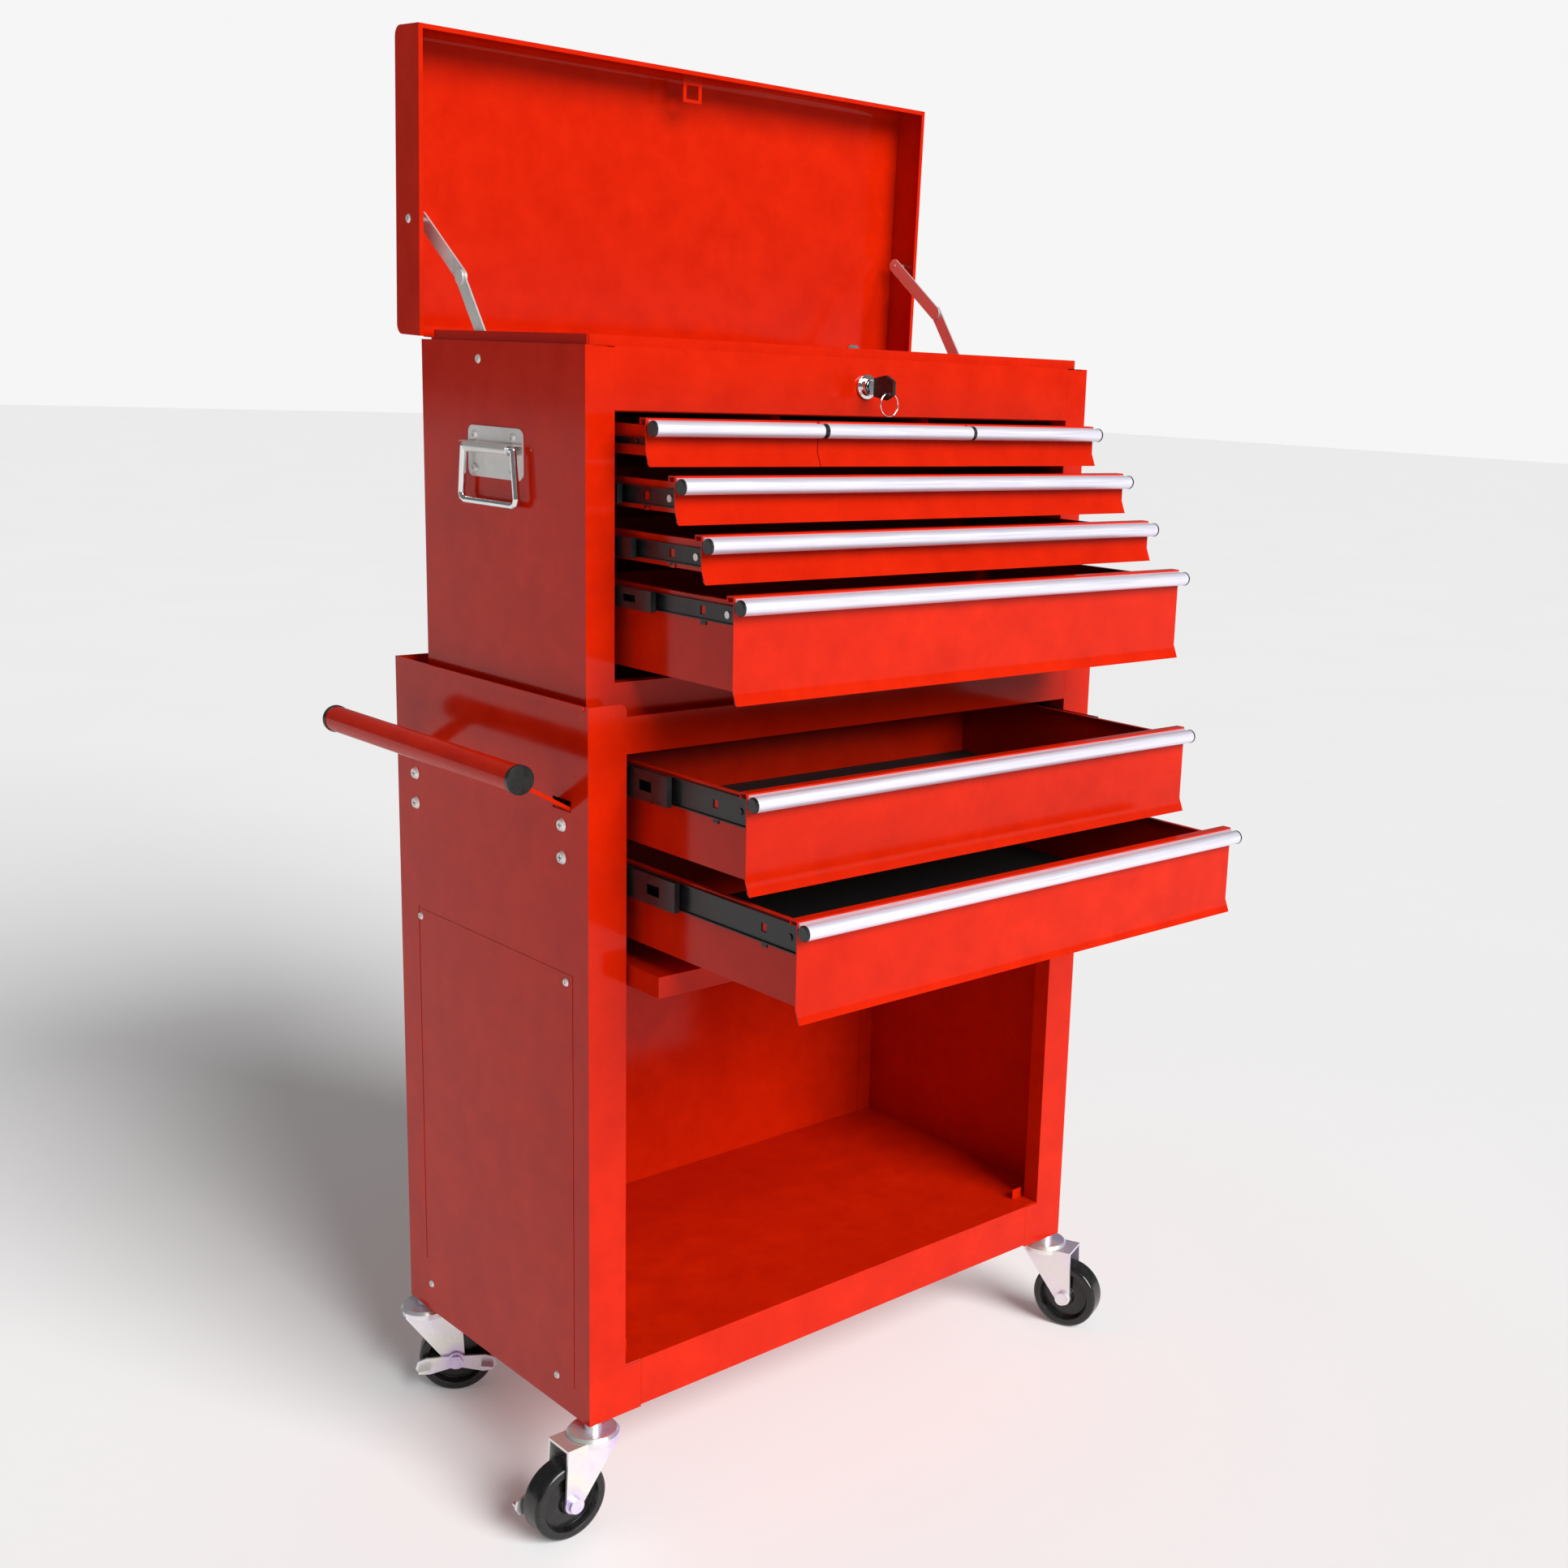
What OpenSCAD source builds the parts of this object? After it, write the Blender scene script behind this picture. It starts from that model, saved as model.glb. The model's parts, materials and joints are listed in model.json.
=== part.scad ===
// Two-piece rolling tool chest: a roller cabinet with two deep drawers, an open
// compartment and a slide-in door, and a lidded top chest with six drawers.
// Millimetres. +Z is up, the drawers face -Y, and the floor is z = 0.

/* [Roller cabinet] */
// Width of the roller cabinet
cab_w = 615; // [560:1:700]
// Depth of the roller cabinet
cab_d = 324; // [300:1:360]
// Height of the cabinet body, without the casters
cab_h = 654; // [620:1:700]
// Height of the casters under the cabinet
caster_h = 102; // [98:1:110]
// Width of the upright strip beside the drawers
cab_stile = 38; // [34:1:44]
// Height of a deep cabinet drawer front
cab_front_h = 83; // [70:1:84]
// How far each cabinet drawer stands open, top to bottom
cab_open = [162, 227];

/* [Top chest] */
// Width of the top chest
chest_w = 595; // [560:1:600]
// Depth of the top chest
chest_d = 262; // [255:1:275]
// Height of the top chest up to the lid
chest_h = 304.8; // [302:0.1:320]
// Distance from the cabinet front to the chest front
chest_setback = 18; // [14:1:22]
// Width of the upright strip beside the drawers
chest_stile = 28; // [26:1:32]
// Height of a shallow chest drawer front
shallow_front_h = 38.3; // [36:0.1:38.3]
// Height of the deep chest drawer front
deep_front_h = 85; // [80:1:85]
// How far the three small drawers stand open, left to right
small_open = [42, 41, 39];
// How far the wide chest drawers stand open, top to bottom
chest_open = [82, 118, 160];

/* [Lid] */
// Height of the lid
lid_h = 42; // [36:1:46]
// Angle at which the lid stands open
lid_open = 88; // [80:1:90]

/* [Door] */
// Height of the slide-in door
door_h = 364; // [340:1:364]
// Thickness of the door pan
door_t = 19; // [14:1:20]
// How far the stored door sticks out of the cabinet
door_proud = 43; // [40:1:60]

/* [Casters] */
// Wheel radius
wheel_r = 36.5; // [34:0.5:38]
// Wheel width
wheel_w = 25; // [22:1:27]
// Distance from the swivel axis to the axle
caster_trail = 30; // [26:1:34]
// Direction each caster trails: front left, front right, rear left, rear right
caster_yaw = [180, -68, -32, -110];

/* [Hidden] */
$fn = 48;

// Sheet metal
sheet = 1;
fold = 20;          // width of the stiffening folds
fit = 0.3;          // gap between parts that only pass each other
eps = 0.01;

// Colours
red = "#c8201a";
zinc = "#c9c4cc";
dark = "#1b1b1c";
alu = "#d6d3dc";
chrome = "#d8dadc";

// Cabinet levels
cab_x = cab_w / 2;
cab_base = caster_h;
cab_top = cab_base + cab_h;
cab_open_x = cab_x - cab_stile;
floor_z = cab_base + 48;
rail_top = cab_top - 11;
rail_bottom = rail_top - 32;
deck_z = rail_top - 4;
row_gap = 5;
cab_front_x = cab_open_x - 1.2;
function cab_row_z(i) = rail_bottom - 3.5 - (i + 1) * cab_front_h - i * row_gap;

// Details of the cabinet's sides
rim_h = 5;
line_w = 2.4;
line_deep = 0.45;
line_y = [24, cab_d - 35];
line_top = cab_base + 419;
line_foot = [cab_base + 28, cab_base + 54];
side_rivets = [                                 // [y, z]
  [35, cab_base + 409], [cab_d - 38, cab_base + 409],
  [53, cab_base + 29], [cab_d - 43, cab_base + 29]
];

// Chest levels
chest_x = chest_w / 2;
chest_y = chest_setback;
chest_back_y = chest_y + chest_d;
chest_base = deck_z + 0.2;
chest_top = chest_base + chest_h;
chest_open_x = chest_x - chest_stile;
chest_open_top = chest_top - 51;
chest_open_bottom = chest_base + 30;
chest_front_x = chest_open_x - 1.2;
small_front_w = (2 * chest_front_x - 2 * 1.6) / 3;
function small_x(i) = (i - 1) * (small_front_w + 1.6);
function chest_row_z(i) = chest_open_top - 4.2 - shallow_front_h - i * (shallow_front_h + row_gap)
  - (i == 3 ? deep_front_h - shallow_front_h : 0);
step_in = 8;        // shelf round the chest top that the lid closes on
step_front = 10;
step_h = 8.5;
till_z = chest_open_top - 1;

// Drawer slides: strip on the tray, middle member, fixed member
tray_inset = 12;
strip_t = 2.8;
strip_win = 7;
middle_t = 3.2;
fixed_t = 3.4;
cab_slide_h = 27;
chest_slide_h = 18;
cab_tray_d = 296;
chest_tray_d = 238;
liner_t = 2;
lip_h = 12;
lip_out = 5;
// How far the middle members stand out of the front at rest
upper_middle_out = [-2, 18, 46];
lower_middle_out = [52, 64];
cab_slide_drop = 20;
function chest_slide_drop(h) = h == deep_front_h ? 17 : shallow_front_h / 2;

// Pulls
pull_r = 6.2;
pull_out = 7.8;     // from the drawer face to the middle of the grip
pull_drop = 8;      // from the top of the front to the middle of the grip
cap_len = 2.5;
cap_proud = 0.3;

// Lid and stays, in the side view [y, z]
hinge_r = 2.2;
hinge_y = chest_back_y + 2.6;
hinge_z = chest_top;
stay_x = chest_x - step_in - 5;
stay_t = 1.6;
stay_w = 14;
stay_len = 84;
stay_chest = [-99.5, -15];   // chest pivot, from the hinge
stay_lid = [-103, 20];       // lid pivot, from the hinge, with the lid closed
function turned(p, a) = [p[0] * cos(a) + p[1] * sin(a), p[1] * cos(a) - p[0] * sin(a)];
function elbow(a) = let (
  q = turned(stay_lid, a),
  m = (q + stay_chest) / 2,
  v = q - stay_chest,
  h = sqrt(stay_len * stay_len - v * v / 4)
) m + h * [-v[1], v[0]] / norm(v);

// Carry handles
carry_y = chest_y + 137;
carry_half = 44;            // of the plate and of its channel
carry_corner = 7;
carry_axis_x = 8;
carry_axis_z = chest_top - 89;
carry_plate_z = [carry_axis_z - 25.5, carry_axis_z + 18];
carry_screw_y = [chest_y + 108, chest_y + 170];
carry_screw_z = [carry_axis_z - 18.5, carry_axis_z + 9.5];
bail_r = 3;
bail_half = 40.5;           // to the leg, at the channel
bail_flare = 4.5;           // how much wider the legs stand at the bottom
bail_drop = 46;
bail_corner = 6;
bail_stub = 12;

// Lock
lock_z = chest_top - 25;
lock_r = 8;
plug_r = 5.6;
lock_proud = 8;
key_y = chest_y - lock_proud - 0.8;             // where the key's shoulder stops
key_h = 5.6;                                    // of the key's blade
key_hole = [key_y - 24, lock_z - 5.5];          // in the key head, [y, z]
ring_r = 10.4;
ring_wire = 0.6;

// Door
door_x = cab_open_x - 3.5;
door_z = cab_row_z(1) - 11;         // upper skin of the stored door
door_end_y = door_h - door_proud;
roller_y = door_end_y - 9;
roller_z = door_z - door_t / 2;
roller_r = 5;
track_x0 = cab_open_x + 4;

// Push handle
push_reach = 61;
push_r = 12.5;
push_z = cab_top - 54;
push_slot_z = push_z - 34;
push_screw_z = [push_slot_z - 18.5, push_slot_z - 47];
push_y = [40, cab_d - 34];
push_bar_w = 27;
push_y0 = 3.6;
push_y1 = cab_d;

// Casters
stem_inset = 10;
race_z = cab_base - 11;
race_r = 24;
fork_t = 2.5;
fork_gap = 1.2;
tread_r = 4;        // rounding of the tread's edges
function caster_pos(i) = [
  (i % 2 == 0 ? -1 : 1) * (cab_x - stem_inset),
  i < 2 ? stem_inset : cab_d - stem_inset,
  0
];

// Moves the drawing frame, whose origin is the middle of the cabinet front on the
// floor, so that the middle of the whole object's footprint is the origin.
reach_left = cab_x + push_reach + push_r;
reach_right = cab_x - stem_inset + (caster_trail + wheel_r - tread_r) * cos(caster_yaw[1])
  + (wheel_w / 2 - tread_r) * sin(-caster_yaw[1]) + tread_r;
reach_front = cab_open[1] + pull_out + pull_r + cap_proud;
reach_back = cab_d - stem_inset + race_r;
module placed() {
  translate([(reach_left - reach_right) / 2, (reach_front - reach_back) / 2, 0]) children();
}

// ---------- sheet metal helpers ----------

function unit(v) = v / norm(v);
function left_of(v) = [-v[1], v[0]];
function offset_point(p, i, t) =
  i == 0 ? p[0] + t * left_of(unit(p[1] - p[0]))
  : i == len(p) - 1 ? p[i] + t * left_of(unit(p[i] - p[i - 1]))
  : let (
      a = left_of(unit(p[i] - p[i - 1])),
      b = left_of(unit(p[i + 1] - p[i]))
    ) p[i] + t * (a + b) / (1 + a * b);
// Outline of a sheet folded along the path p, with its thickness on the left
function folded(p, t = sheet) =
  concat(p, [for (i = [len(p) - 1 : -1 : 0]) offset_point(p, i, t)]);

// Extrudes an outline drawn in [y, z] along X, centred
module along_x(w) {
  rotate([90, 0, 90]) translate([0, 0, -w / 2]) linear_extrude(w) children();
}

// Extrudes an outline drawn in [x, z] along Y from y0 to y1
module along_y(y0, y1) {
  translate([0, y1, 0]) rotate([90, 0, 0]) linear_extrude(y1 - y0) children();
}

module box(lo, hi) {
  translate(lo) cube(hi - lo);
}

// Both sides of the middle plane
module pair() {
  children();
  mirror([1, 0, 0]) children();
}

module x_cyl(r, x0, x1, y, z) {
  translate([x0, y, z]) rotate([0, 90, 0]) cylinder(r = r, h = x1 - x0);
}

module y_cyl(r, y0, y1, x, z) {
  translate([x, y1, z]) rotate([90, 0, 0]) cylinder(r = r, h = y1 - y0);
}

// Pan head screw on a wall that faces +X, head at the origin
module screw_x(head_r, head_t, shank_r, shank_l) {
  rotate([0, 90, 0]) {
    difference() {
      cylinder(r1 = head_r, r2 = head_r * 0.72, h = head_t);
      for (a = [0, 90])
        rotate([0, 0, a]) box([-head_r * 0.5, -head_r * 0.1, head_t * 0.4],
                              [head_r * 0.5, head_r * 0.1, head_t + 1]);
    }
    translate([0, 0, -shank_l]) cylinder(r = shank_r, h = shank_l + eps);
  }
}

// ---------- roller cabinet ----------

// Right side, as one folded sheet: the stile return, stile, side and rear fold
module cab_side() {
  plan = folded([
    [cab_open_x, fold], [cab_open_x, 0], [cab_x, 0], [cab_x, cab_d - sheet],
    [cab_x - fold, cab_d - sheet]
  ]);
  difference() {
    union() {
      translate([0, 0, cab_base]) linear_extrude(cab_h) polygon(plan);
      box([cab_open_x - 17, 0, cab_base], [cab_open_x + sheet, sheet, floor_z - 1.2]);
      box([cab_x - eps, 8, cab_top - rim_h], [cab_x + sheet, cab_d - 4, cab_top]);
      x_cyl(rim_h / 2, cab_x - eps, cab_x + sheet, 8, cab_top - rim_h / 2);
    }
    embossed_line();
    difference() {
      box([cab_open_x - 1, -1, cab_top - 7], [cab_open_x + 7, sheet + 1, cab_top + 1]);
      y_cyl(7, -2, sheet + 2, cab_open_x + 7, cab_top - 7);
    }
    box([cab_open_x - 1, sheet, deck_z], [cab_open_x + sheet + eps, fold + 1, cab_top + 1]);
    for (p = side_rivets) x_cyl(2.1, cab_x - 3, cab_x + 3, p[0], p[1]);
  }
}

// Line pressed into the side: down the front, across the top and down the rear
module embossed_line() {
  for (y = line_y)
    box([cab_x - line_deep, y - line_w / 2, y == line_y[0] ? line_foot[0] : line_foot[1]],
        [cab_x + sheet, y + line_w / 2, line_top]);
  box([cab_x - line_deep, line_y[0] - line_w / 2, line_top - line_w],
      [cab_x + sheet, line_y[1] + line_w / 2, line_top]);
}

module cab_side_left() {
  color(red) difference() {
    mirror([1, 0, 0]) cab_side();
    for (y = push_y) {
      box([-cab_x - 3, y - push_bar_w / 2 - 0.6, push_slot_z - 5.5],
          [-cab_x + 3, y + push_bar_w / 2 + 0.6, push_slot_z + 4.5]);
      for (z = push_screw_z) x_cyl(2.6, -cab_x - 3, -cab_x + 3, y, z);
    }
  }
}

module cab_side_right() {
  color(red) cab_side();
}

module cab_back() {
  color(red) box([-cab_x + eps, cab_d - sheet, cab_base], [cab_x - eps, cab_d, cab_top]);
}

// Floor pan whose front folds down into the bottom rail, with the two door stops
module cab_floor() {
  rail_x = cab_open_x - 17.2;
  color(red) {
    along_x(2 * rail_x) polygon(folded([
      [fold, cab_base + 2], [0, cab_base + 2], [0, floor_z], [fold + 2, floor_z]
    ], -sheet));
    box([-cab_x + sheet + eps, fold + 1, floor_z - sheet],
        [cab_x - sheet - eps, cab_d - 2 * sheet - eps, floor_z]);
    pair() box([rail_x - eps, sheet + eps, floor_z - sheet],
               [cab_open_x - eps, fold + 2, floor_z]);
    pair() along_x_at(cab_open_x - 16, cab_open_x - 3)
      polygon(folded([[34, floor_z], [22, floor_z], [22, floor_z + 11]], -sheet));
    for (i = [0 : 3]) corner_plate(i);
  }
}

module along_x_at(x0, x1) {
  translate([(x0 + x1) / 2, 0, 0]) along_x(x1 - x0) children();
}

// Steel plate inside each bottom corner that a caster stem bolts through
module corner_plate(i) {
  p = caster_pos(i);
  sx = p[0] < 0 ? -1 : 1;
  y0 = i < 2 ? sheet + eps : cab_d - 40;
  y1 = i < 2 ? 40 : cab_d - 2 * sheet - eps;
  difference() {
    box([sx < 0 ? -cab_x + sheet + eps : cab_x - 36, y0, cab_base + 3.2],
        [sx < 0 ? -cab_x + 36 : cab_x - sheet - eps, y1, cab_base + 6.2]);
    translate([p[0], p[1], 0]) cylinder(r = 5.1, h = cab_base + 20);
    if (i < 2) box([sx < 0 ? -cab_open_x - sheet - eps : cab_open_x - 8, -1, cab_base],
                   [sx < 0 ? -cab_open_x + 8 : cab_open_x + sheet + eps, fold + 0.2, cab_base + 9]);
  }
}

// Recessed deck that the chest stands on; its front folds down into the top rail
module cab_top_deck() {
  color(red) {
    along_x(2 * cab_open_x - 2 * eps) polygon(folded([
      [fold, rail_bottom], [0, rail_bottom], [0, rail_top], [4, rail_top],
      [4, deck_z], [fold + 2, deck_z]
    ], -sheet));
    box([-cab_x + sheet + eps, fold + 1, deck_z - sheet],
        [cab_x - sheet - eps, cab_d - 2 * sheet - eps, deck_z]);
  }
}

// Fixed members of the two pairs of slides, the rear posts that carry them and the
// channels that the door's rollers run in
module cab_runners() {
  color(dark) pair() {
    difference() {
      door_track();
      for (p = side_rivets) x_cyl(2.4, cab_x - 4.4, cab_x, p[0], p[1]);
    }
    for (i = [0 : 1]) {
      z = cab_row_z(i) + cab_front_h - cab_slide_drop;
      along_y(3, cab_tray_d + 8) fixed_member(cab_open_x, z, cab_slide_h);
    }
    box([cab_open_x + eps, cab_tray_d - 10, cab_row_z(1) + 20],
        [cab_open_x + 1.5, cab_d - 2 * sheet - eps, rail_bottom - 3]);
  }
}

// C section whose web lies against x and whose lips point inwards
module fixed_member(x, z, h) {
  polygon(folded([
    [x - fixed_t, z - h / 2], [x, z - h / 2], [x, z + h / 2], [x - fixed_t, z + h / 2]
  ], 1));
}

module door_track() {
  h = roller_r + 0.4;
  along_y(4, cab_d - 2 * sheet - eps) polygon(folded([
    [track_x0, roller_z - h - 1], [cab_x - sheet - eps, roller_z - h - 1],
    [cab_x - sheet - eps, roller_z + h + 1], [track_x0, roller_z + h + 1]
  ], 1));
}

module cab_fasteners() {
  color(zinc) {
    pair() for (p = side_rivets) translate([cab_x, p[0], p[1]]) screw_x(3.8, 1.4, 2, 4);
    mirror([1, 0, 0]) for (y = push_y, z = push_screw_z)
      translate([cab_x, y, z]) screw_x(6, 2.6, 2.5, 9);
  }
}

// ---------- push handle ----------

module push_bracket(y) {
  leg_x = -cab_x + sheet + 0.05;
  angle = atan2(push_z - push_slot_z, push_reach + 3);
  difference() {
    along_y(y - push_bar_w / 2, y + push_bar_w / 2) polygon(folded([
      [leg_x + 3, push_screw_z[1] - 10], [leg_x + 3, push_slot_z - 3],
      [-cab_x - push_reach + push_r * cos(angle) * 0.6, push_z - push_r * sin(angle) * 0.6]
    ], 3));
    for (z = push_screw_z) x_cyl(2.5 + eps, leg_x - 1, leg_x + 8, y, z);
    y_cyl(push_r - 0.7 - 1.5, push_y0 - 1, push_y1 + 1, -cab_x - push_reach, push_z);
  }
}

module push_handle() {
  x = -cab_x - push_reach;
  color(red) {
    difference() {
      y_cyl(push_r - 0.7, push_y0 + 4, push_y1 - 4, x, push_z);
      y_cyl(push_r - 2.2, push_y0 + 3, push_y1 - 3, x, push_z);
    }
    for (y = push_y) push_bracket(y);
  }
  color(dark) for (s = [0, 1])
    translate([0, s * (push_y0 + push_y1), 0]) scale_y(s) push_cap(x);
}

module scale_y(s) {
  mirror([0, s, 0]) children();
}

// Plug in the front end of the tube
module push_cap(x) {
  y_cyl(push_r, push_y0, push_y0 + 4 - eps, x, push_z);
  y_cyl(push_r - 2.3, push_y0, push_y0 + 16, x, push_z);
}

// ---------- casters ----------

module caster_stems() {
  color(zinc) for (i = [0 : 3]) translate(caster_pos(i)) {
    translate([0, 0, race_z - 8]) cylinder(r = 5, h = cab_base + 22 - race_z);
    translate([0, 0, race_z]) cylinder(r1 = race_r, r2 = race_r - 2.5, h = 3);
    translate([0, 0, race_z + 3]) cylinder(r = 7.5, h = cab_base + 3.1 - race_z - 3);
    translate([0, 0, cab_base + 6.3]) cylinder(r = 7.8, h = 6, $fn = 6);
  }
}

// The braked casters on the left have their axle nut on the other side
module at_caster(i) {
  translate(caster_pos(i)) rotate([0, 0, caster_yaw[i]]) mirror([0, i % 2 == 0 ? 1 : 0, 0])
    children();
}

// Pressed fork that trails along +X, with its axle bolt and nut
module fork(i) {
  half = wheel_w / 2 + fork_gap;
  at_caster(i) color(zinc) {
    difference() {
      union() {
        translate([0, 0, race_z - 6]) cylinder(r = race_r - 1.5, h = 5.6);
        for (s = [-1, 1]) translate([0, s * (half + fork_t / 2) + fork_t / 2, 0])
          rotate([90, 0, 0]) linear_extrude(fork_t) fork_cheek();
        box([-8, -half - fork_t, race_z - 3], [caster_trail + 6, half + fork_t, race_z - 0.4]);
      }
      translate([0, 0, race_z - 20]) cylinder(r = 5.05, h = 30);
      box([-10, -half, race_z - 10], [caster_trail + 20, half, race_z - 3]);
      y_cyl(4.05, -40, 40, caster_trail, wheel_r);
    }
    y_cyl(4, -half - fork_t - 3, half + fork_t + 6.5, caster_trail, wheel_r);
    y_cyl(7, -half - fork_t - 5, -half - fork_t - 0.05, caster_trail, wheel_r);
    if (i % 2 == 1) y_nut(half + fork_t + 0.05);
  }
}

module y_nut(y) {
  translate([caster_trail, y + 4.5, wheel_r]) rotate([90, 0, 0]) cylinder(r = 7, h = 4.5, $fn = 6);
}

// Side view of one fork cheek in [x, z]
module fork_cheek() {
  polygon([
    [-race_r + 6, race_z - 0.4], [-race_r + 6, race_z - 6], [caster_trail - 8.5, wheel_r - 3],
    [caster_trail + 8.5, wheel_r], [caster_trail + 6, race_z - 0.4]
  ]);
  translate([caster_trail, wheel_r]) circle(9);
}

module wheel(i) {
  at_caster(i) translate([caster_trail, 0, wheel_r]) rotate([90, 0, 0]) color(dark)
    difference() {
      rotate_extrude($fn = 96) polygon(wheel_section());
      cylinder(r = 4.1, h = wheel_w + 2, center = true);
    }
}

function tread_point(a, z) = [wheel_r - tread_r + tread_r * cos(a), z + tread_r * sin(a)];
// Half section of the wheel: hub, dished web and rounded tread
function wheel_section() = let (h = wheel_w / 2, n = 6) concat(
  [[0, -h], [10, -h], [12, -h + 4], [25, -h + 6], [28, -h]],
  [for (k = [0 : n]) let (a = -90 + 90 * k / n) tread_point(a, -h + tread_r)],
  [for (k = [0 : n]) let (a = 90 * k / n) tread_point(a, h - tread_r)],
  [[28, h], [25, h - 6], [12, h - 4], [10, h], [0, h]]
);

// Rocking brake lever on the nut side of a caster
module brake(i) {
  y = wheel_w / 2 + fork_gap + fork_t + 0.3;
  color(zinc) at_caster(i) translate([caster_trail, y, wheel_r]) {
    difference() {
      union() {
        y_cyl(9, 0, 3, 0, 0);
        for (s = [-1, 1]) rotate([0, s * 8, 0]) brake_arm(s);
      }
      y_cyl(4.1, -5, 10, 0, 0);
    }
    translate([0, 6.1, 0]) rotate([90, 0, 0]) difference() {
      cylinder(r = 7, h = 3, $fn = 6);
      translate([0, 0, -1]) cylinder(r = 4.05, h = 5);
    }
  }
}

// One wing of the lever, flared into a foot pad
module brake_arm(s) {
  translate([0, 3, 0]) rotate([90, 0, 0]) linear_extrude(3)
    polygon([[s * 2, -6], [s * 28, -9], [s * 37, -7], [s * 40, 0], [s * 37, 7], [s * 28, 9],
             [s * 2, 6]]);
  translate([s * 31, 1.5, -1]) box([-6, 0, -1.5], [6, 10, 1.5]);
}

// ---------- top chest ----------

// Back and both sides in one sheet, with the stiles folded in at the front and
// the shelf and upstand for the lid along the top
module chest_wrap() {
  plan = folded([
    [chest_open_x, chest_y + fold], [chest_open_x, chest_y], [chest_x, chest_y],
    [chest_x, chest_back_y], [-chest_x, chest_back_y], [-chest_x, chest_y],
    [-chest_open_x, chest_y], [-chest_open_x, chest_y + fold]
  ]);
  color(red) difference() {
    union() {
      translate([0, 0, chest_base]) linear_extrude(chest_h - 1) polygon(plan);
      pair() box([chest_x - step_in, chest_y, chest_top - sheet],
                 [chest_x, chest_back_y, chest_top]);
      box([-chest_x, chest_back_y - step_in, chest_top - sheet],
          [chest_x, chest_back_y, chest_top]);
      pair() box([chest_x - step_in - sheet, chest_y + step_front, chest_top - sheet],
                 [chest_x - step_in, chest_back_y - step_in, chest_top + step_h]);
      box([-chest_x + step_in, chest_back_y - step_in - sheet, chest_top - sheet],
          [chest_x - step_in, chest_back_y - step_in, chest_top + step_h]);
    }
    for (s = [-1, 1]) {
      x_cyl(2.1, s * chest_x - 3, s * chest_x + 3, hinge_y + stay_chest[0],
            hinge_z + stay_chest[1]);
      for (y = carry_screw_y, z = carry_screw_z)
        x_cyl(2.1, s * chest_x - 3, s * chest_x + 3, y, z);
    }
    box([-chest_open_x - 2, chest_y + sheet, chest_open_top], [chest_open_x + 2,
        chest_y + fold + 1, chest_top - sheet - 0.1]);
  }
}

// Bottom pan with the low front rail
module chest_bottom() {
  color(red) {
    along_x(2 * chest_open_x - 2 * eps) polygon(folded([
      [chest_y + fold + 2, chest_base], [chest_y, chest_base], [chest_y, chest_open_bottom],
      [chest_y + 12, chest_open_bottom]
    ], -sheet));
    box([-chest_x + sheet + eps, chest_y + fold + 1, chest_base],
        [chest_x - sheet - eps, chest_back_y - sheet - eps, chest_base + sheet]);
  }
}

// Front panel above the drawers, with its own shelf and upstand
module chest_front_panel() {
  color(red) difference() {
    union() {
      along_x(2 * chest_open_x - 2 * eps) polygon(folded([
        [chest_y + 12, chest_open_top], [chest_y, chest_open_top], [chest_y, chest_top],
        [chest_y + step_front, chest_top], [chest_y + step_front, chest_top + step_h]
      ], -sheet));
      box([-chest_x + step_in + eps, chest_y + step_front, chest_top],
          [chest_x - step_in - eps, chest_y + step_front + sheet, chest_top + step_h]);
    }
    y_cyl(lock_r + 0.02, chest_y - 1, chest_y + 3, 0, lock_z);
    for (s = [-1, 1]) translate([s * (chest_x - step_in - sheet / 2), 0, 0])
      box([-sheet / 2 - eps, chest_y + step_front - 1, chest_top - 0.01],
          [sheet / 2 + 1, chest_y + step_front + 2, chest_top + 20]);
  }
}

// Till floor under the lid with the partitions between the small drawers
module chest_till() {
  z = till_z;
  color(red) {
    box([-chest_x + sheet + eps, chest_y + fold + 2, z - sheet],
        [chest_x - sheet - eps, chest_back_y - sheet - eps, z]);
    for (s = [-1, 1]) box(
      [s * (small_front_w / 2 + 0.8) - 0.5, chest_y + 12, chest_row_z(0) + 2],
      [s * (small_front_w / 2 + 0.8) + 0.5, chest_back_y - sheet - eps, z - sheet + eps]);
  }
}

// Fixed slide members of the three wide drawers, their rear posts, and the plain
// guide rails of the small drawers
module chest_runners() {
  color(dark) {
    pair() {
      for (i = [1 : 3]) {
        h = i == 3 ? deep_front_h : shallow_front_h;
        z = chest_row_z(i) + h - chest_slide_drop(h);
        along_y(chest_y + 3, chest_y + chest_tray_d + 6)
          fixed_member(chest_open_x, z, chest_slide_h);
      }
      box([chest_open_x + eps, chest_y + chest_tray_d - 12, chest_open_bottom + 5],
          [chest_open_x + 1.5, chest_back_y - sheet - eps, till_z - 4]);
      small_guide(chest_open_x, -1);
      small_guide(small_front_w / 2 + 0.8 + 0.5 + eps, 1);
      small_guide(small_front_w / 2 + 0.8 - 0.5 - eps, -1);
    }
  }
}

// L rail under the edge strip of a small tray, on the wall at x
module small_guide(x, s) {
  z = chest_row_z(0) + shallow_front_h / 2 - 5;
  along_y(chest_y + 14, chest_y + chest_tray_d) polygon([
    [x, z], [x + s * 7.4, z], [x + s * 7.4, z + 1.5], [x + s * 1.2, z + 1.5],
    [x + s * 1.2, z + 9], [x, z + 9]
  ]);
}

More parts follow.
